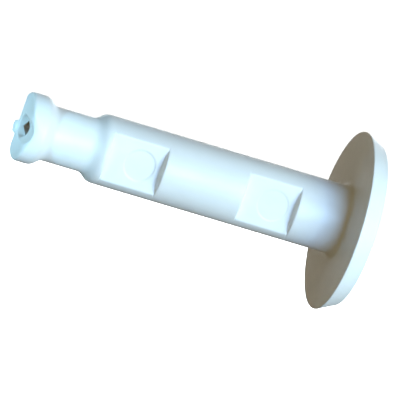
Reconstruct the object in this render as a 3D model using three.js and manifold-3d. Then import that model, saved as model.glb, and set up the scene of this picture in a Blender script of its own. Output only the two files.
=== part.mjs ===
// Drive-in wall anchor: a moulded plastic sleeve with a round flange and a flared nose, and the steel
// pin that is driven down its bore. Millimetres, +Z up. The anchor lies along X with its nose towards
// -X, as it goes into a wall. The origin is on its axis, in the plane of the flange's bearing face.
// The two flats of the sleeve face -Y, which is the way its mould opens.

import * as THREE from "three";
import { mergeVertices } from "three/addons/utils/BufferGeometryUtils.js";
import Module from "manifold-3d";

// ---- Sleeve, outside ----
const SLEEVE_DEPTH = 48; // from the flange's bearing face to the end of the nose
const HOLE_DIAMETER = 10; // the drilled hole, which the shank and the nose both fit
const FLANGE_DIAMETER = 26;
const FLANGE_THICKNESS = 2.75;
const FLANGE_TAPER = 1.2; // how much the rim's radius falls from the bearing face to the outer face
const FLANGE_EDGE_ROUND = 0.5; // on the outer face
const FLANGE_EDGE_BREAK = 0.2; // on the bearing face
const ROOT_FILLET = 0.8; // between the shank and the flange
const SHOULDER_LENGTH = 2.6;
const NECK_DIAMETER = 7.9;
const NECK_LENGTH = 5;
const FLARE_LENGTH = 2.4;
const NOSE_LENGTH = 2; // the full-size land at the end, its rounding included
const NOSE_ROUND = 0.6;
const NOSE_FRONT_ROUND = 1.9; // the end is rounded off more towards the flats' side,
const NOSE_BACK_ROUND = 2.8; // and most away from it

// ---- Flats on the shank ----
const FLAT_WALL = 1.07; // what is left between a flat and the bore
const FLAT_DRAFT = 0.25; // lean of the end walls over their height
const FLAT_END_RADIUS = 17; // the wall towards the flange bows towards the nose
const FRONT_FLAT_LENGTH = 8.1; // back from the shoulder
const REAR_FLAT_LENGTH = 7.5;
const REAR_FLAT_SETBACK = 7.8; // from the flange's bearing face
const EJECTOR_MARK_DIAMETER = 4.5;
const EJECTOR_MARK_SETBACK = 3; // from the flat's bowed wall to the mark's centre
const FRONT_MARK_DEPTH = 0.12;
const REAR_MARK_DEPTH = 0.05;

// ---- Mouth of the nose ----
const MOUTH_CHAMFER = 0.2;
const NOTCH_WIDTH = 3.6; // scoop from the bore out through the rim, on the flats' side
const NOTCH_DEPTH = 0.8;
const GATE_STUB_DIAMETER = 2; // where the moulding was cut from its runner
const GATE_STUB_HEIGHT = 0.3;
const GATE_STUB_REACH = 3.1; // from the axis to its centre
const GATE_STUB_ANGLE = 18; // degrees from +Y, turning down towards -Z

// ---- Bore ----
const BORE_DIAMETER = 5;
const NOSE_BORE_DIAMETER = 3.3;
const BORE_CONE_LENGTH = 1.2; // ends where the neck begins
const HEAD_RECESS_CHAMFER = 0.2;

// ---- Pin ----
const PIN_CLEARANCE = 0.3; // all round the pin, and under its head
const HEAD_DIAMETER = 8;
const HEAD_THICKNESS = 1.3;
const HEAD_BEVEL = 0.3;
const POINT_LENGTH = 1.1; // of the four-sided point, up to the middle of each side
const POINT_SETBACK = 0.25; // from the end of the nose, with the pin driven home
const BARB_COUNT = 10;
const BARB_PITCH = 2;
const BARB_HEIGHT = 0.25;
const BARB_SETBACK = 6; // from the flange's bearing face to the rearmost barb

// ---- Fineness of the mesh ----
const SLEEVE_SEGMENTS = 48;
const PIN_SEGMENTS = 32;
const CURVE_STEPS = 6;
const OVERRUN = 1; // how far a cutter passes the surface that it cuts through

const COLOURS = {
  plastic: { color: 0xe6eff2, roughness: 0.5, metalness: 0 },
  steel: { color: 0xb4b8bd, roughness: 0.35, metalness: 1 },
};

const wasm = await Module();
wasm.setup();

// Stations along X of what both pieces follow.
const noseEnd = -SLEEVE_DEPTH;
const flareFront = noseEnd + NOSE_LENGTH;
const neckFront = flareFront + FLARE_LENGTH;
const neckRear = neckFront + NECK_LENGTH;
const shoulderRear = neckRear + SHOULDER_LENGTH;

// Distances from the axis.
const shankRadius = HOLE_DIAMETER / 2;
const boreRadius = BORE_DIAMETER / 2;
const noseBoreRadius = NOSE_BORE_DIAMETER / 2;
const flatFloor = boreRadius + FLAT_WALL;

// A closed body of manifold-3d from a three.js geometry, which loses its doubled and pinched corners.
function solid(geometry) {
  geometry.deleteAttribute("normal");
  geometry.deleteAttribute("uv");
  const merged = mergeVertices(geometry);
  const corners = merged.index.array;
  const triVerts = [];
  for (let i = 0; i < corners.length; i += 3) {
    const [a, b, c] = corners.slice(i, i + 3);
    if (a !== b && b !== c && c !== a) {
      triVerts.push(a, b, c);
    }
  }
  return new wasm.Manifold(new wasm.Mesh({
    numProp: 3,
    vertProperties: new Float32Array(merged.attributes.position.array),
    triVerts: new Uint32Array(triVerts),
  }));
}

// A profile drawn as (radius, station) and turned about the X axis.
function turned(profile, segments) {
  return solid(new THREE.LatheGeometry(profile.getPoints(CURVE_STEPS), segments).rotateZ(-Math.PI / 2));
}

// A round bar along one axis, between two stations.
function bar(axis, radius, from, to, segments) {
  const geometry = new THREE.CylinderGeometry(radius, radius, to - from, segments);
  geometry.translate(0, (from + to) / 2, 0);
  return axis === "x" ? geometry.rotateZ(-Math.PI / 2) : geometry;
}

// An S-shaped run of the profile from where it is now to another radius and station.
function easeTo(profile, radius, station) {
  const { x, y } = profile.currentPoint;
  const middle = (y + station) / 2;
  profile.bezierCurveTo(x, middle, radius, middle, radius, station);
}

function sleeveBlank() {
  const neckRadius = NECK_DIAMETER / 2;
  const flangeRadius = FLANGE_DIAMETER / 2;
  const faceRadius = flangeRadius - FLANGE_TAPER;
  const recessRadius = HEAD_DIAMETER / 2 + PIN_CLEARANCE;
  const recessFloor = FLANGE_THICKNESS - HEAD_THICKNESS - PIN_CLEARANCE;

  const profile = new THREE.Path();
  profile.moveTo(noseBoreRadius + MOUTH_CHAMFER, noseEnd);
  profile.lineTo(shankRadius - NOSE_ROUND, noseEnd);
  profile.absarc(shankRadius - NOSE_ROUND, noseEnd + NOSE_ROUND, NOSE_ROUND, -Math.PI / 2, 0);
  profile.lineTo(shankRadius, flareFront);
  easeTo(profile, neckRadius, neckFront);
  profile.lineTo(neckRadius, neckRear);
  easeTo(profile, shankRadius, shoulderRear);
  profile.lineTo(shankRadius, -ROOT_FILLET);
  profile.quadraticCurveTo(shankRadius, 0, shankRadius + ROOT_FILLET, 0);
  profile.lineTo(flangeRadius - FLANGE_EDGE_BREAK, 0);
  profile.lineTo(flangeRadius, FLANGE_EDGE_BREAK);
  profile.lineTo(faceRadius, FLANGE_THICKNESS - FLANGE_EDGE_ROUND);
  profile.quadraticCurveTo(faceRadius, FLANGE_THICKNESS, faceRadius - FLANGE_EDGE_ROUND, FLANGE_THICKNESS);
  profile.lineTo(recessRadius + HEAD_RECESS_CHAMFER, FLANGE_THICKNESS);
  profile.lineTo(recessRadius, FLANGE_THICKNESS - HEAD_RECESS_CHAMFER);
  profile.lineTo(recessRadius, recessFloor);
  profile.lineTo(boreRadius, recessFloor);
  profile.lineTo(boreRadius, neckRear + BORE_CONE_LENGTH);
  profile.lineTo(noseBoreRadius, neckRear);
  profile.lineTo(noseBoreRadius, noseEnd + MOUTH_CHAMFER);
  profile.lineTo(noseBoreRadius + MOUTH_CHAMFER, noseEnd);
  return turned(profile, SLEEVE_SEGMENTS);
}

// The pocket of one flat: straight across at its front, bowed at its rear, with leaning walls.
function flatPocket(front, rear) {
  const halfWidth = shankRadius + OVERRUN;
  const sweep = Math.asin(halfWidth / FLAT_END_RADIUS);
  const outline = new THREE.Shape();
  outline.moveTo(front, halfWidth);
  outline.lineTo(front, -halfWidth);
  outline.absarc(rear + FLAT_END_RADIUS, 0, FLAT_END_RADIUS, Math.PI + sweep, Math.PI - sweep, true);
  const pocket = new THREE.ExtrudeGeometry(outline, {
    depth: OVERRUN,
    curveSegments: 2 * CURVE_STEPS,
    bevelThickness: shankRadius - flatFloor,
    bevelSize: FLAT_DRAFT,
    bevelSegments: 1,
  });
  return solid(pocket.rotateX(Math.PI / 2).translate(0, -shankRadius, 0));
}

// The round print of an ejector pin in the floor of a flat.
function ejectorMark(rear, depth) {
  const mark = bar("y", EJECTOR_MARK_DIAMETER / 2, -flatFloor - OVERRUN, depth - flatFloor, SLEEVE_SEGMENTS);
  return solid(mark.translate(rear - EJECTOR_MARK_SETBACK, 0, 0));
}

// What the nose keeps: seen along Z, its end has a flat middle between two roundings. Behind
// the nose it is wider than everything.
function noseOutline() {
  const clear = FLANGE_DIAMETER / 2 + OVERRUN;
  const rear = FLANGE_THICKNESS + OVERRUN;
  const backStart = noseEnd + NOSE_BACK_ROUND;
  const frontStart = noseEnd + NOSE_FRONT_ROUND;
  const backFlat = shankRadius - NOSE_BACK_ROUND;
  const frontFlat = shankRadius - NOSE_FRONT_ROUND;
  const outline = new THREE.Shape();
  outline.moveTo(rear, clear);
  outline.lineTo(backStart, clear);
  outline.lineTo(backStart, shankRadius);
  outline.absarc(backStart, backFlat, NOSE_BACK_ROUND, Math.PI / 2, Math.PI);
  outline.lineTo(noseEnd, -frontFlat);
  outline.absarc(frontStart, -frontFlat, NOSE_FRONT_ROUND, Math.PI, 1.5 * Math.PI);
  outline.lineTo(frontStart, -clear);
  outline.lineTo(rear, -clear);
  const options = { depth: 2 * clear, curveSegments: 2 * CURVE_STEPS, bevelEnabled: false };
  return solid(new THREE.ExtrudeGeometry(outline, options).translate(0, 0, -clear));
}

function notch() {
  const radius = (NOTCH_WIDTH ** 2 / 4 + NOTCH_DEPTH ** 2) / (2 * NOTCH_DEPTH);
  const scoop = bar("y", radius, -shankRadius - OVERRUN, 0, SLEEVE_SEGMENTS);
  return solid(scoop.translate(noseEnd + NOTCH_DEPTH - radius, 0, 0));
}

function gateStub() {
  const angle = THREE.MathUtils.degToRad(GATE_STUB_ANGLE);
  const stub = bar("x", GATE_STUB_DIAMETER / 2, noseEnd - GATE_STUB_HEIGHT, flareFront, 16);
  return solid(stub.translate(0, GATE_STUB_REACH * Math.cos(angle), -GATE_STUB_REACH * Math.sin(angle)));
}

function sleeve() {
  const frontRear = shoulderRear + FRONT_FLAT_LENGTH;
  const rearRear = -REAR_FLAT_SETBACK;
  return sleeveBlank()
    .intersect(noseOutline())
    .add(gateStub())
    .subtract(flatPocket(shoulderRear + FLAT_DRAFT, frontRear))
    .subtract(flatPocket(rearRear - REAR_FLAT_LENGTH, rearRear))
    .subtract(ejectorMark(frontRear, FRONT_MARK_DEPTH))
    .subtract(ejectorMark(rearRear, REAR_MARK_DEPTH))
    .subtract(notch());
}

function pin() {
  const radius = boreRadius - PIN_CLEARANCE;
  const noseRadius = noseBoreRadius - PIN_CLEARANCE;
  const headRadius = HEAD_DIAMETER / 2;
  const headUnderside = FLANGE_THICKNESS - HEAD_THICKNESS;
  const apex = noseEnd + POINT_SETBACK;
  const coneFront = neckRear + PIN_CLEARANCE;

  const profile = new THREE.Path();
  profile.moveTo(0, apex);
  profile.lineTo(noseRadius, apex);
  profile.lineTo(noseRadius, coneFront);
  profile.lineTo(radius, coneFront + BORE_CONE_LENGTH);
  for (let i = BARB_COUNT; i > 0; i -= 1) {
    const front = -BARB_SETBACK - i * BARB_PITCH;
    profile.lineTo(radius, front);
    profile.lineTo(radius - BARB_HEIGHT, front);
  }
  profile.lineTo(radius, -BARB_SETBACK);
  profile.lineTo(radius, headUnderside);
  profile.lineTo(headRadius, headUnderside);
  profile.lineTo(headRadius, FLANGE_THICKNESS - HEAD_BEVEL);
  profile.lineTo(headRadius - HEAD_BEVEL, FLANGE_THICKNESS);
  profile.lineTo(0, FLANGE_THICKNESS);

  // The point is what stays inside a long four-sided pyramid with its apex on the axis.
  const length = FLANGE_THICKNESS + OVERRUN - apex;
  const corner = (length * noseRadius * Math.SQRT2) / POINT_LENGTH;
  const pyramid = new THREE.ConeGeometry(corner, length, 4);
  pyramid.translate(0, -length / 2, 0);
  pyramid.rotateZ(Math.PI / 2);
  pyramid.translate(apex, 0, 0);
  return turned(profile, PIN_SEGMENTS).intersect(solid(pyramid));
}

function part(name, body, finish) {
  const { vertProperties, triVerts } = body.getMesh();
  const geometry = new THREE.BufferGeometry();
  geometry.setAttribute("position", new THREE.BufferAttribute(vertProperties, 3));
  geometry.setIndex(new THREE.BufferAttribute(triVerts, 1));
  const mesh = new THREE.Mesh(geometry, new THREE.MeshStandardMaterial({ ...finish, flatShading: true }));
  mesh.name = name;
  return mesh;
}

const anchor = new THREE.Group();
anchor.add(part("anchor_sleeve", sleeve(), COLOURS.plastic));
anchor.add(part("drive_pin", pin(), COLOURS.steel));

export default anchor;
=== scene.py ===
"""Looks of a drive-in wall anchor: a moulded white plastic sleeve and the plated steel pin in its bore."""

import math

import bmesh
import bpy
import numpy as np
from mathutils import Matrix, Vector


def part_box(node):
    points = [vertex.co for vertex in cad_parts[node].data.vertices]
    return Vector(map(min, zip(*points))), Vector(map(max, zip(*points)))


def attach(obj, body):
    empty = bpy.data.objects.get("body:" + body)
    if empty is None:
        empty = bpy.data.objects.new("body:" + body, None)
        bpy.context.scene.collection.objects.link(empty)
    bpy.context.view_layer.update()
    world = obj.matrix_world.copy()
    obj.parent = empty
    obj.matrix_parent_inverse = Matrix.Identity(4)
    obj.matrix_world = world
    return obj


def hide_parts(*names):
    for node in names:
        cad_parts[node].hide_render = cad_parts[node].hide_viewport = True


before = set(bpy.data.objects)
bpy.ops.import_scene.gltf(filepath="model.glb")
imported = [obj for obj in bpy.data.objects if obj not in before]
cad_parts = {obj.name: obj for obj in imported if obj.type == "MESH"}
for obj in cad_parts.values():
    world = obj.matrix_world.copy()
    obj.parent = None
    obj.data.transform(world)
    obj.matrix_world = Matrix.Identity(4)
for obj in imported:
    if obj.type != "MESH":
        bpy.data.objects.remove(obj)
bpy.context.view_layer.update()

MM = 0.001  # lengths below are in millimetres, up to the materials


def box_mm(node):
    return [Vector(corner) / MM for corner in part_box(node)]


sleeve_low, sleeve_high = box_mm("anchor_sleeve")
pin_low, pin_high = box_mm("drive_pin")

# ---- Sleeve, outside ----
GATE_STUB_HEIGHT = 0.3
GATE_STUB_RADIUS = 1.0
GATE_STUB_REACH = 3.1  # from the axis to its centre
GATE_STUB_ANGLE = math.radians(18)  # from +Y, turning down
GATE_STUB_WALL = 0.16  # width over which its side rises
GATE_STUB_TEAR = 0.03  # height of the torn end's waves
NOSE_LENGTH = 2.0
NOSE_ROUND = 0.6
NOSE_FRONT_ROUND = 1.9  # towards the flats' side
NOSE_BACK_ROUND = 2.8
NOSE_ROUND_BLEND = 0.08
FLARE_LENGTH = 2.4
NECK_RADIUS = 3.95
NECK_LENGTH = 5.0
SHOULDER_LENGTH = 2.6
SHANK_RADIUS = 5.0
ROOT_FILLET = 0.8
FLANGE_TAPER = 1.2
FLANGE_EDGE_ROUND = 0.5
FLANGE_EDGE_BREAK = 0.2
RIM_REAR_INSET = 0.05  # the rim is this much smaller than the flange at the bearing face's edge,
RIM_FRONT_OUTSET = 0.1  # and this much larger than the outer face at the other
PARTING_RIDGE = 0.035
PARTING_WIDTH = 0.07
PARTING_SKIN = 0.2  # how far under the neck's surface still counts as the outside

# ---- Bore ----
BORE_RADIUS = 2.5
NOSE_BORE_RADIUS = 1.65
BORE_CONE_LENGTH = 1.2
BORE_EDGE_ROUND = 0.15
RECESS_EDGE_ROUND = 0.3
RECESS_FLOOR_ROUND = 0.1
MOUTH_ROUND = 0.2
MOUTH_DEPTH = 1.0  # the rows are close together this far in
NOTCH_HALF_WIDTH = 1.8
NOTCH_DEPTH = 0.8
NOTCH_REACH = 3.0  # how far back the mesh's rows make room for it
NOTCH_SIDE_BLEND = 0.2
NOTCH_FLOOR_BLEND = 0.1

# ---- Pin ----
PIN_CLEARANCE = 0.3
PIN_RADIUS = BORE_RADIUS - PIN_CLEARANCE
PIN_NOSE_RADIUS = NOSE_BORE_RADIUS - PIN_CLEARANCE
POINT_LENGTH = 1.1
POINT_MARGIN = 0.2  # the rows stay close together this far past the point
POINT_BLUNT = 0.04
BARB_COUNT = 10
BARB_PITCH = 2.0
BARB_HEIGHT = 0.25
BARB_SETBACK = 6.0
BARB_ROUND = 0.05
HEAD_UNDERSIDE = 1.45  # from the flange's bearing face
HEAD_UNDERSIDE_ROUND = 0.1
HEAD_BEVEL = 0.3
HEAD_BEVEL_BOW = 0.05  # how near the bevel's curve is drawn to the square corner
HEAD_CENTRE = 0.3  # radius of the last row, which closes on the axis
SHARP_EDGE = math.radians(35)

# ---- Stations along the sleeve, and the head's recess ----
NOSE_END = sleeve_low.x + GATE_STUB_HEIGHT
FLARE_FRONT = NOSE_END + NOSE_LENGTH
NECK_FRONT = FLARE_FRONT + FLARE_LENGTH
NECK_REAR = NECK_FRONT + NECK_LENGTH
SHOULDER_REAR = NECK_REAR + SHOULDER_LENGTH
FLANGE_RADIUS = sleeve_high.z
FLANGE_FACE = sleeve_high.x
RECESS_RADIUS = pin_high.z + PIN_CLEARANCE
RECESS_FLOOR = HEAD_UNDERSIDE - PIN_CLEARANCE

# ---- Flats on the shank ----
FLAT_FLOOR = 3.57  # from the axis
FLAT_SKIN = 0.4  # how far under a flat still counts as the outside
FLAT_FRONT_LIMIT = 0.8  # nothing is cut nearer than this to the neck
FLAT_DRAFT = 0.25
FLAT_END_RADIUS = 17.0
FLAT_CORNER_BLEND = 0.06  # where a floor turns up into an end wall
FLAT_SIDE_BLEND = 0.05  # where a floor meets the round of the shank,
FLAT_RIM_BLEND = 0.24  # and how much softer an end wall's top is
FLAT_RIM_WIDTH = 0.25
FRONT_FLAT_LENGTH = 8.1  # back from the shoulder
FRONT_FLAT = (SHOULDER_REAR + FLAT_DRAFT, SHOULDER_REAR + FRONT_FLAT_LENGTH)  # front end, rear wall's middle
REAR_FLAT = (-15.3, -7.8)
FRONT_MARK_DEPTH = 0.12
REAR_MARK_DEPTH = 0.05
FLATS = ((*FRONT_FLAT, FRONT_MARK_DEPTH), (*REAR_FLAT, REAR_MARK_DEPTH))
EJECTOR_MARK_RADIUS = 2.25
EJECTOR_MARK_SETBACK = 3.0
EJECTOR_MARK_WALL = 0.14

# ---- Fineness of the sleeve's and the pin's mesh ----
SEGMENTS = 208
PARTING_TURNS = (-0.018, -0.009, 0.009, 0.018)  # extra columns, in radians from a parting line
SHANK_STEP = 0.5
FRONT_WALL_ROWS = (-0.5, 0.2, 0.05)  # from, to and step, measured from a flat's front end,
REAR_WALL_ROWS = (-0.2, 0.8, 0.04)  # its rear wall
MARK_ROWS = (-2.6, 2.6, 0.1)  # and its ejector mark's centre
SHANK_END_GAP = 0.02  # the last row stays this far short of the root's fillet


# ---------------------------------------------------------------- shapes

def smooth_step(t):
    t = np.clip(t, 0.0, 1.0)
    return t * t * (3.0 - 2.0 * t)


def smooth_min(a, b, softness):
    return 0.5 * (a + b - np.sqrt((a - b) ** 2 + softness ** 2))


def smooth_max(a, b, softness):
    return -smooth_min(-a, -b, softness)


class Profile:
    """A pen's path of (station, radius) points, to be turned about the X axis.

    A line's last number is the longest step between its points, and a curve's is how many steps it has.
    """

    def __init__(self, station, radius):
        self.points = [(station, radius)]

    def through(self, stations, radius):
        self.points += [(float(station), radius) for station in stations]

    def line(self, station, radius, step):
        x, r = self.points[-1]
        count = max(1, math.ceil(math.hypot(station - x, radius - r) / step))
        for i in range(1, count + 1):
            t = i / count
            self.points.append((x + t * (station - x), r + t * (radius - r)))

    def bend(self, corner, station, radius, steps):
        """A rounding, as a quadratic curve that leaves towards the corner and comes from it."""
        x, r = self.points[-1]
        for i in range(1, steps + 1):
            t = i / steps
            a, b, c = (1 - t) ** 2, 2 * t * (1 - t), t * t
            self.points.append((a * x + b * corner[0] + c * station, a * r + b * corner[1] + c * radius))

    def ease(self, station, radius, steps=14):
        """An S-shaped change of radius."""
        x, r = self.points[-1]
        for i in range(1, steps + 1):
            t = i / steps
            run = x + (station - x) * (1.5 * t * (1 - t) + t ** 3)
            self.points.append((run, r + (radius - r) * (3 * t * t - 2 * t ** 3)))


def angles():
    """Round the axis from +Y towards +Z, closer together at the parting lines at +Z and -Z."""
    even = [2 * math.pi * i / SEGMENTS for i in range(SEGMENTS)]
    near = [side * math.pi / 2 + offset for side in (1, 3) for offset in PARTING_TURNS]
    return np.array(sorted(even + near))


def turned_points(profile, turns):
    stations, radii = np.array(profile.points).T
    x = np.repeat(stations[:, None], len(turns), axis=1)
    y = radii[:, None] * np.cos(turns)[None, :]
    z = radii[:, None] * np.sin(turns)[None, :]
    return np.stack([x, y, z], axis=2)


def make_piece(name, grid, closed, material):
    """A mesh of quads over a grid of points. One that isn't closed gets a point at each end of its axis."""
    rows, columns = grid.shape[:2]
    vertices = grid.reshape(-1, 3)
    faces = []
    for i in range(rows if closed else rows - 1):
        below, above = i * columns, ((i + 1) % rows) * columns
        for j in range(columns):
            k = (j + 1) % columns
            faces.append((below + j, below + k, above + k, above + j))
    if not closed:
        ends = [(grid[0, 0, 0], 0, 0), (grid[-1, 0, 0], 0, 0)]
        first, last = len(vertices), (rows - 1) * columns
        vertices = np.concatenate([vertices, ends])
        for j in range(columns):
            k = (j + 1) % columns
            faces.append((first, k, j))
            faces.append((first + 1, last + j, last + k))
    mesh = bpy.data.meshes.new(name)
    mesh.from_pydata((vertices * MM).tolist(), [], faces)
    solid = bmesh.new()
    solid.from_mesh(mesh)
    bmesh.ops.recalc_face_normals(solid, faces=solid.faces)
    solid.to_mesh(mesh)
    solid.free()
    mesh.shade_smooth()
    mesh.materials.append(material)
    piece = bpy.data.objects.new(name, mesh)
    bpy.context.collection.objects.link(piece)
    return piece


# ---------------------------------------------------------------- sleeve

def rows_about(station, rows):
    start, end, step = rows
    return set(np.arange(station + start, station + end, step).round(3))


def shank_stations():
    """Rows along the shank, close together where a flat's end walls and ejector mark need them."""
    stations = set(np.arange(SHOULDER_REAR, -ROOT_FILLET, SHANK_STEP).round(3))
    for front, rear, _ in FLATS:
        stations |= rows_about(front, FRONT_WALL_ROWS)
        stations |= rows_about(rear, REAR_WALL_ROWS)
        stations |= rows_about(rear - EJECTOR_MARK_SETBACK, MARK_ROWS)
    return sorted(s for s in stations if SHOULDER_REAR < s < -ROOT_FILLET - SHANK_END_GAP)


def draw_outside(path):
    face_radius = FLANGE_RADIUS - FLANGE_TAPER
    edge_break = FLANGE_EDGE_BREAK
    path.line(NOSE_END, SHANK_RADIUS - NOSE_ROUND, 0.12)
    path.bend((NOSE_END, SHANK_RADIUS), NOSE_END + NOSE_ROUND, SHANK_RADIUS, 12)
    path.line(FLARE_FRONT, SHANK_RADIUS, 0.2)
    path.ease(NECK_FRONT, NECK_RADIUS)
    path.line(NECK_REAR, NECK_RADIUS, 0.5)
    path.ease(SHOULDER_REAR, SHANK_RADIUS)
    path.through(shank_stations(), SHANK_RADIUS)
    path.line(-ROOT_FILLET, SHANK_RADIUS, 0.2)
    path.bend((0, SHANK_RADIUS), 0, SHANK_RADIUS + ROOT_FILLET, 10)
    path.line(0, FLANGE_RADIUS - edge_break, 0.5)
    path.bend((0, FLANGE_RADIUS), edge_break, FLANGE_RADIUS - RIM_REAR_INSET, 5)
    path.line(FLANGE_FACE - FLANGE_EDGE_ROUND, face_radius + RIM_FRONT_OUTSET, 0.3)
    path.bend((FLANGE_FACE, face_radius), FLANGE_FACE, face_radius - FLANGE_EDGE_ROUND, 8)


def draw_bore(path):
    path.line(FLANGE_FACE, RECESS_RADIUS + RECESS_EDGE_ROUND, 0.6)
    path.bend((FLANGE_FACE, RECESS_RADIUS), FLANGE_FACE - RECESS_EDGE_ROUND, RECESS_RADIUS, 6)
    path.line(RECESS_FLOOR + RECESS_FLOOR_ROUND, RECESS_RADIUS, 0.3)
    path.bend((RECESS_FLOOR, RECESS_RADIUS), RECESS_FLOOR, RECESS_RADIUS - RECESS_FLOOR_ROUND, 4)
    path.line(RECESS_FLOOR, BORE_RADIUS + BORE_EDGE_ROUND, 0.4)
    path.bend((RECESS_FLOOR, BORE_RADIUS), RECESS_FLOOR - BORE_EDGE_ROUND, BORE_RADIUS, 4)
    path.line(NECK_REAR + BORE_CONE_LENGTH, BORE_RADIUS, 2.0)
    path.line(NECK_REAR, NOSE_BORE_RADIUS, 0.3)
    path.line(NOSE_END + MOUTH_DEPTH, NOSE_BORE_RADIUS, 1.5)
    path.line(NOSE_END + MOUTH_ROUND, NOSE_BORE_RADIUS, 0.1)
    path.bend((NOSE_END, NOSE_BORE_RADIUS), NOSE_END, NOSE_BORE_RADIUS + MOUTH_ROUND, 6)


def sleeve_profile():
    path = Profile(NOSE_END, NOSE_BORE_RADIUS + MOUTH_ROUND)
    draw_outside(path)
    draw_bore(path)
    path.points.pop()  # the path closes on its first point
    return path


def cut_flats(grid):
    """Moves the shank's surface in to the flats, their end walls and their ejector marks."""
    x, y, z = grid[..., 0], grid[..., 1], grid[..., 2]
    shank = (x < -ROOT_FILLET) & (x > NECK_REAR + FLAT_FRONT_LIMIT)
    outside = (np.hypot(y, z) > FLAT_FLOOR - FLAT_SKIN) & (y < 0) & shank
    slope = (SHANK_RADIUS - FLAT_FLOOR) / FLAT_DRAFT
    bow = FLAT_END_RADIUS - np.sqrt(FLAT_END_RADIUS ** 2 - np.minimum(np.abs(z), SHANK_RADIUS) ** 2)
    for front, rear, mark_depth in FLATS:
        past = np.maximum(x - (rear + bow), front - x)
        rise = smooth_max(past, 0.0, FLAT_CORNER_BLEND) * slope
        away = np.hypot(x - (rear - EJECTOR_MARK_SETBACK), z)
        print_depth = mark_depth * smooth_step((EJECTOR_MARK_RADIUS - away) / EJECTOR_MARK_WALL + 0.5)
        floor = FLAT_FLOOR - print_depth + rise
        softness = FLAT_SIDE_BLEND + FLAT_RIM_BLEND * smooth_step(1 + past / FLAT_RIM_WIDTH)
        cut = -smooth_min(-y, floor, softness)
        y[outside] = cut[outside]


def round_nose_sides(grid):
    """Rounds the nose's end off along its two sides, less towards the flats, and leaves a flat between."""
    x, y = grid[..., 0], grid[..., 1]
    depth = x - NOSE_END
    size = np.where(y < 0, NOSE_FRONT_ROUND, NOSE_BACK_ROUND)
    back = np.clip(size - depth, 0, None)
    aside = np.clip(np.abs(y) - SHANK_RADIUS + size, 0, None)
    away = np.maximum(np.hypot(back, aside), 0.001)  # never zero, as it is divided by
    scale = np.minimum(smooth_min(away, size, NOSE_ROUND_BLEND) / away, 1)
    scale = np.where(depth < size, scale, 1)
    x += back * (1 - scale) * (aside > 0)
    y -= np.sign(y) * aside * (1 - scale)


def cut_notch(grid):
    """Scoops the rim of the mouth out on the flats' side."""
    x, y, z = grid[..., 0], grid[..., 1], grid[..., 2]
    past = np.clip(-y - SHANK_RADIUS + NOSE_FRONT_ROUND, 0, NOSE_FRONT_ROUND)
    rounding = NOSE_FRONT_ROUND - np.sqrt(NOSE_FRONT_ROUND ** 2 - past ** 2)
    radius = (NOTCH_HALF_WIDTH ** 2 + NOTCH_DEPTH ** 2) / (2 * NOTCH_DEPTH)
    scoop = NOTCH_DEPTH - radius + np.sqrt(np.clip(radius ** 2 - z ** 2, 0, None))
    side = smooth_step(0.5 - (y + NOTCH_SIDE_BLEND / 2) / NOTCH_SIDE_BLEND)
    scoop = np.clip(scoop, 0, None) * side
    extra = smooth_max(rounding, scoop, NOTCH_FLOOR_BLEND) - smooth_max(rounding, 0, NOTCH_FLOOR_BLEND)
    share = np.clip((NOSE_END + NOTCH_REACH - x) / (NOTCH_REACH - rounding), 0, 1)
    x += extra * share


def raise_gate_stub(grid):
    """Lifts the torn stub of the mould's runner from the end of the nose."""
    x, y, z = grid[..., 0], grid[..., 1], grid[..., 2]
    across = GATE_STUB_REACH * math.cos(GATE_STUB_ANGLE)
    down = GATE_STUB_REACH * math.sin(GATE_STUB_ANGLE)
    away = np.hypot(y - across, z + down)
    near_end = (x < FLARE_FRONT) & (np.hypot(y, z) > NOSE_BORE_RADIUS + MOUTH_ROUND)
    wall = (GATE_STUB_RADIUS - GATE_STUB_WALL / 2 - away) / GATE_STUB_WALL + 0.5
    share = smooth_step(wall) * near_end
    torn = GATE_STUB_TEAR * np.sin(9 * y + 4 * z)
    x += share * (NOSE_END - GATE_STUB_HEIGHT + GATE_STUB_TEAR + torn - x)


def raise_parting_lines(grid):
    """Raises a fine ridge along +Z and -Z, which fades out at the nose's end and the flange's root."""
    x, y, z = grid[..., 0], grid[..., 1], grid[..., 2]
    outside = (np.abs(z) > NECK_RADIUS - PARTING_SKIN) & (x < -ROOT_FILLET)
    fade = smooth_step((-x - 2 * ROOT_FILLET) / ROOT_FILLET) * smooth_step((x - NOSE_END) / NOSE_ROUND)
    ridge = PARTING_RIDGE * np.exp(-((y / PARTING_WIDTH) ** 2)) * outside * fade
    z += np.sign(z) * ridge


def sleeve(material):
    grid = turned_points(sleeve_profile(), angles())
    cut_flats(grid)
    round_nose_sides(grid)
    cut_notch(grid)
    raise_gate_stub(grid)
    raise_parting_lines(grid)
    piece = make_piece("sleeve_moulding", grid, True, material)
    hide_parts("anchor_sleeve")
    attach(piece, "sleeve")


# ---------------------------------------------------------------- pin

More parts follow.
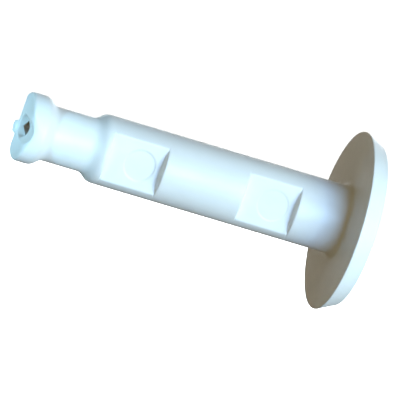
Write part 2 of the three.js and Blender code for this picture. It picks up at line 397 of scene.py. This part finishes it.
def pin_profile():
    cone_front = NECK_REAR + PIN_CLEARANCE
    head_radius = pin_high.z
    face = pin_high.x
    path = Profile(pin_low.x + POINT_BLUNT, PIN_NOSE_RADIUS)
    path.line(pin_low.x + POINT_LENGTH + POINT_MARGIN, PIN_NOSE_RADIUS, 0.08)
    path.line(cone_front, PIN_NOSE_RADIUS, 1.5)
    path.line(cone_front + BORE_CONE_LENGTH, PIN_RADIUS, 0.3)
    for i in range(BARB_COUNT, 0, -1):
        front = -BARB_SETBACK - i * BARB_PITCH
        path.line(front - BARB_ROUND, PIN_RADIUS, 0.5)
        path.bend((front, PIN_RADIUS), front, PIN_RADIUS - BARB_ROUND, 3)
        path.line(front, PIN_RADIUS - BARB_HEIGHT, 0.1)
    path.line(-BARB_SETBACK, PIN_RADIUS, 0.5)
    path.line(HEAD_UNDERSIDE, PIN_RADIUS, 1.0)
    path.line(HEAD_UNDERSIDE, head_radius - HEAD_UNDERSIDE_ROUND, 0.4)
    path.bend((HEAD_UNDERSIDE, head_radius), HEAD_UNDERSIDE + HEAD_UNDERSIDE_ROUND, head_radius, 4)
    path.line(face - HEAD_BEVEL, head_radius, 0.3)
    path.bend((face - HEAD_BEVEL_BOW, head_radius - HEAD_BEVEL_BOW), face, head_radius - HEAD_BEVEL, 6)
    path.line(face, HEAD_CENTRE, 0.4)
    return path


def grind_point(grid):
    """Keeps what lies inside a four-sided pyramid with its apex at the front end."""
    x, y, z = grid[..., 0], grid[..., 1], grid[..., 2]
    radius = np.hypot(y, z)
    corner = (x - pin_low.x) * PIN_NOSE_RADIUS / POINT_LENGTH * math.sqrt(2)
    limit = corner / ((np.abs(y) + np.abs(z)) / radius)
    scale = np.minimum(1.0, limit / radius)
    y *= scale
    z *= scale


def pin(material):
    grid = turned_points(pin_profile(), angles())
    grind_point(grid)
    piece = make_piece("pin_forging", grid, False, material)
    piece.data.set_sharp_from_angle(angle=SHARP_EDGE)
    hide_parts("drive_pin")
    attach(piece, "pin")


# ---------------------------------------------------------------- materials

# Lengths are in metres from here on.
NOISE_LOW = 0.3  # nearly all of a noise's values lie between these two
NOISE_HIGH = 0.7
PLASTIC_SHADES = ((0.83, 0.845, 0.85), (0.88, 0.89, 0.89))
STEEL_SHADES = ((0.4, 0.41, 0.43), (0.56, 0.56, 0.55))
FLOOR_GLOW = 0.97


def new_material(name):
    material = bpy.data.materials.new(name)
    material.use_nodes = True
    tree = material.node_tree
    return material, tree, tree.nodes["Principled BSDF"]


def stretched_noise(tree, place, stretch, scale, detail, roughness=0.5):
    """Noise in the anchor's own coordinates, drawn out along an axis where its factor is under 1."""
    mapping = tree.nodes.new("ShaderNodeMapping")
    mapping.inputs["Scale"].default_value = stretch
    noise = tree.nodes.new("ShaderNodeTexNoise")
    noise.inputs["Scale"].default_value = scale
    noise.inputs["Detail"].default_value = detail
    noise.inputs["Roughness"].default_value = roughness
    tree.links.new(place.outputs["Object"], mapping.inputs["Vector"])
    tree.links.new(mapping.outputs["Vector"], noise.inputs["Vector"])
    return noise.outputs["Fac"]


def shades(tree, noise, colours):
    node = tree.nodes.new("ShaderNodeValToRGB")
    elements = node.color_ramp.elements
    for element, position, colour in zip(elements, (NOISE_LOW, NOISE_HIGH), colours):
        element.position = position
        element.color = (*colour, 1.0)
    tree.links.new(noise, node.inputs["Fac"])
    return node.outputs["Color"]


def spread(tree, noise, low, high):
    node = tree.nodes.new("ShaderNodeMapRange")
    node.inputs["From Min"].default_value = NOISE_LOW
    node.inputs["From Max"].default_value = NOISE_HIGH
    node.inputs["To Min"].default_value = low
    node.inputs["To Max"].default_value = high
    tree.links.new(noise, node.inputs["Value"])
    return node.outputs["Result"]


def bump(tree, noise, height, strength, under=None):
    node = tree.nodes.new("ShaderNodeBump")
    node.inputs["Distance"].default_value = height
    node.inputs["Strength"].default_value = strength
    tree.links.new(noise, node.inputs["Height"])
    if under:
        tree.links.new(under, node.inputs["Normal"])
    return node.outputs["Normal"]


def plastic():
    """Natural white nylon: faintly cloudy, satin, with a fine spark-eroded grain and flow lines."""
    material, tree, shader = new_material("moulded_white_nylon")
    place = tree.nodes.new("ShaderNodeTexCoord")
    cloud = stretched_noise(tree, place, stretch=(0.5, 1, 1), scale=260, detail=5)
    flow = stretched_noise(tree, place, stretch=(0.12, 1, 1), scale=900, detail=3)
    grain = stretched_noise(tree, place, stretch=(1, 1, 1), scale=5200, detail=4, roughness=0.6)
    tree.links.new(shades(tree, cloud, PLASTIC_SHADES), shader.inputs["Base Color"])
    tree.links.new(spread(tree, flow, low=0.36, high=0.52), shader.inputs["Roughness"])
    ripple = bump(tree, flow, height=0.00002, strength=0.35)
    surface = bump(tree, grain, height=0.000012, strength=0.4, under=ripple)
    tree.links.new(surface, shader.inputs["Normal"])
    shader.inputs["IOR"].default_value = 1.5
    shader.inputs["Subsurface Weight"].default_value = 0.18
    shader.inputs["Subsurface Radius"].default_value = (1.0, 0.95, 0.9)
    shader.inputs["Subsurface Scale"].default_value = 0.0012
    return material


def steel():
    """Zinc plate over drawn wire: soft streaks along the pin and small dull patches."""
    material, tree, shader = new_material("zinc_plated_steel")
    place = tree.nodes.new("ShaderNodeTexCoord")
    patches = stretched_noise(tree, place, stretch=(1, 1, 1), scale=700, detail=5, roughness=0.6)
    streaks = stretched_noise(tree, place, stretch=(0.05, 1, 1), scale=5000, detail=3)
    tree.links.new(shades(tree, patches, STEEL_SHADES), shader.inputs["Base Color"])
    tree.links.new(spread(tree, patches, low=0.24, high=0.42), shader.inputs["Roughness"])
    tree.links.new(bump(tree, streaks, height=0.00001, strength=0.5), shader.inputs["Normal"])
    shader.inputs["Metallic"].default_value = 1.0
    return material


def floor_paper():
    """White paper with a glow of its own, which keeps it even."""
    material, _, shader = new_material("pale_floor")
    shader.inputs["Base Color"].default_value = (0.9, 0.9, 0.9, 1.0)
    shader.inputs["Roughness"].default_value = 0.8
    shader.inputs["Emission Color"].default_value = (1.0, 1.0, 1.0, 1.0)
    shader.inputs["Emission Strength"].default_value = FLOOR_GLOW
    return material


# ---------------------------------------------------------------- camera, lights and floor

ALONG = Vector((1, 0, 0))  # the anchor's axis, towards the flange

NOSE_TOWARDS_CAMERA = math.radians(14.8)  # how far the nose comes out of the picture
FLATS_TURNED_DOWN = math.radians(11.6)  # round the anchor's axis, from facing the camera
AXIS_FALL = math.radians(16.6)  # the axis falls to the right in the picture
CAMERA_DISTANCE = 2.5
CAMERA_REACH = 40
PICTURE_WIDTH = 56.1 * MM  # at the anchor
AIM_FROM_FLANGE = 20.2 * MM  # the picture's centre, along the axis and below it
AIM_BELOW_AXIS = 2.9 * MM

FLOOR_HEIGHT = -0.08
FLOOR_REACH = 3.0

# The world's fill: a strength behind the anchor and one in front of it, where the camera is.
WHITE = (1.0, 1.0, 1.0)
FILL_COLOUR = (0.95, 0.9, 1.0)
FRONT_FILL = 0.13
NOSE_FILL_COLOUR = (1.0, 0.78, 0.38)
NOSE_FILL = 0.27
BACK_FILL = 0.12
TAIL_FILL = 0.5
FRONT_TURN = (-0.9, 0.9)  # cosines between which the fill changes from back to front,
NOSE_TURN = (-0.8, 0.8)  # from plain to brown past the nose,
TAIL_TURN = (0.5, 0.95)  # and to the bright part past the flange

LIGHTS_TARGET = Vector((-0.02, 0, 0))
KEY_DISTANCE = 0.5
KEY_SIZE = 0.2
KEYS = (  # (name, degrees of lean towards the flange from straight across the axis, power, colour)
    ("key_light", 16, 2.5, (0.42, 0.68, 1.0)),
    ("flange_key_light", 35, 1.2, (0.8, 0.97, 0.75)),
)
BACK_LIGHT_DIRECTION = Vector((0.25, 0.95, 0.0))
BACK_LIGHT_DISTANCE = 0.4
BACK_LIGHT_SIZE = 0.3
BACK_LIGHT_POWER = 0.9
BACK_LIGHT_COLOUR = (0.9, 0.95, 1.0)
NOSE_LIGHT_COLOUR = (0.36, 0.75, 1.0)
NOSE_LIGHT_POWER = 16.0
NOSE_LIGHT_SPREAD = math.radians(2.3)
NOSE_LIGHT_SOFT_EDGE = 0.5
NOSE_LIGHT_SIZE = 0.01
NOSE_LIGHT_DISTANCE = 0.4
NOSE_LIGHT_LEAN = math.radians(60)
NOSE_LIGHT_OFFSET = 4.5 * MM  # past the nose, so that less of the beam falls on the neck


def camera_axes():
    """The camera's right, up and back directions, and the direction that is straight across the axis."""
    across = Vector((0, -math.cos(FLATS_TURNED_DOWN), math.sin(FLATS_TURNED_DOWN)))
    back = math.cos(NOSE_TOWARDS_CAMERA) * across + Vector((-math.sin(NOSE_TOWARDS_CAMERA), 0, 0))
    along = (ALONG - back.x * back).normalized()
    over = back.cross(along)
    right = math.cos(AXIS_FALL) * along + math.sin(AXIS_FALL) * over
    up = math.cos(AXIS_FALL) * over - math.sin(AXIS_FALL) * along
    return right, up, back, over


def add_camera():
    right, up, back, over = camera_axes()
    aim = Vector((-AIM_FROM_FLANGE, 0, 0)) - AIM_BELOW_AXIS * over
    data = bpy.data.cameras.new("camera")
    data.lens = data.sensor_width * CAMERA_DISTANCE / PICTURE_WIDTH
    data.clip_end = CAMERA_REACH
    camera = bpy.data.objects.new("camera", data)
    turn = Matrix((right, up, back)).transposed().to_4x4()
    camera.matrix_world = Matrix.Translation(aim + CAMERA_DISTANCE * back) @ turn
    bpy.context.collection.objects.link(camera)
    bpy.context.scene.camera = camera


def place_light(name, data, target, direction, distance):
    """Puts a light at a distance from its target, in the given direction, and faces it back."""
    light = bpy.data.objects.new(name, data)
    light.location = target + distance * direction
    light.rotation_euler = direction.to_track_quat("Z", "Y").to_euler()
    bpy.context.collection.objects.link(light)
    return light


def add_area_light(name, direction, distance, size, power, colour):
    data = bpy.data.lights.new(name, "AREA")
    data.size = size
    data.energy = power
    data.color = colour
    light = place_light(name, data, LIGHTS_TARGET, direction.normalized(), distance)
    light.visible_camera = False


def leaning(front, lean, end):
    """The direction that leans from the front towards one end of the anchor."""
    return math.cos(lean) * front + math.sin(lean) * end


def add_nose_light(front):
    """A narrow soft beam on the nose, from the front and past its end."""
    data = bpy.data.lights.new("nose_light", "SPOT")
    data.energy = NOSE_LIGHT_POWER
    data.color = NOSE_LIGHT_COLOUR
    data.spot_size = NOSE_LIGHT_SPREAD
    data.spot_blend = NOSE_LIGHT_SOFT_EDGE
    data.shadow_soft_size = NOSE_LIGHT_SIZE
    direction = leaning(front, NOSE_LIGHT_LEAN, -ALONG).normalized()
    target = Vector((NOSE_END * MM - NOSE_LIGHT_OFFSET, 0, 0))
    place_light("nose_light", data, target, direction, NOSE_LIGHT_DISTANCE)


def add_floor():
    low, high = -FLOOR_REACH, FLOOR_REACH
    corners = [(x, y, FLOOR_HEIGHT) for x, y in ((low, low), (high, low), (high, high), (low, high))]
    mesh = bpy.data.meshes.new("floor")
    mesh.from_pydata(corners, [], [(0, 1, 2, 3)])
    mesh.materials.append(floor_paper())
    floor = bpy.data.objects.new("floor", mesh)
    floor.visible_diffuse = False
    floor.visible_glossy = False
    bpy.context.collection.objects.link(floor)


def towards(tree, direction, turn, low, high):
    """Runs from low to high as the world's direction turns to the one given, between two cosines."""
    place = tree.nodes.new("ShaderNodeTexCoord")
    dot = tree.nodes.new("ShaderNodeVectorMath")
    dot.operation = "DOT_PRODUCT"
    dot.inputs[1].default_value = direction
    tree.links.new(place.outputs["Generated"], dot.inputs[0])
    node = tree.nodes.new("ShaderNodeMapRange")
    node.interpolation_type = "SMOOTHSTEP"
    node.inputs["From Min"].default_value, node.inputs["From Max"].default_value = turn
    node.inputs["To Min"].default_value = low
    node.inputs["To Max"].default_value = high
    tree.links.new(dot.outputs["Value"], node.inputs["Value"])
    return node.outputs["Result"]


def background(tree, colour, strength=1.0, varying=None):
    """Light of one colour, of one strength or of a strength that varies with direction."""
    node = tree.nodes.new("ShaderNodeBackground")
    node.inputs["Color"].default_value = (*colour, 1.0)
    node.inputs["Strength"].default_value = strength
    if varying:
        tree.links.new(varying, node.inputs["Strength"])
    return node.outputs["Background"]


def mix_shaders(tree, share, first, second):
    node = tree.nodes.new("ShaderNodeMixShader")
    tree.links.new(share, node.inputs["Fac"])
    tree.links.new(first, node.inputs[1])
    tree.links.new(second, node.inputs[2])
    return node.outputs["Shader"]


def set_world(front):
    """Soft fill: plain in front, brown past the nose, bright past the flange. The camera sees white."""
    world = bpy.data.worlds.new("studio")
    world.use_nodes = True
    tree = world.node_tree
    tree.nodes.clear()
    plain = background(tree, FILL_COLOUR, varying=towards(tree, front, FRONT_TURN, BACK_FILL, FRONT_FILL))
    brown = background(tree, NOSE_FILL_COLOUR, varying=towards(tree, front, FRONT_TURN, BACK_FILL, NOSE_FILL))
    tail = background(tree, WHITE, TAIL_FILL)
    light = mix_shaders(tree, towards(tree, -ALONG, NOSE_TURN, 0.0, 1.0), plain, brown)
    light = mix_shaders(tree, towards(tree, ALONG, TAIL_TURN, 0.0, 1.0), light, tail)
    seen = tree.nodes.new("ShaderNodeLightPath").outputs["Is Camera Ray"]
    output = tree.nodes.new("ShaderNodeOutputWorld")
    tree.links.new(mix_shaders(tree, seen, light, background(tree, WHITE)), output.inputs["Surface"])
    bpy.context.scene.world = world


def set_stage():
    over = camera_axes()[-1]
    front = ALONG.cross(over)
    set_world(front)
    add_floor()
    add_camera()
    for name, lean, power, colour in KEYS:
        direction = leaning(front, math.radians(lean), ALONG)
        add_area_light(name, direction, KEY_DISTANCE, KEY_SIZE, power, colour)
    add_nose_light(front)
    add_area_light("back_light", BACK_LIGHT_DIRECTION, BACK_LIGHT_DISTANCE, BACK_LIGHT_SIZE,
                   BACK_LIGHT_POWER, BACK_LIGHT_COLOUR)
    bpy.context.scene.view_settings.view_transform = "Standard"


sleeve(plastic())
pin(steel())
set_stage()
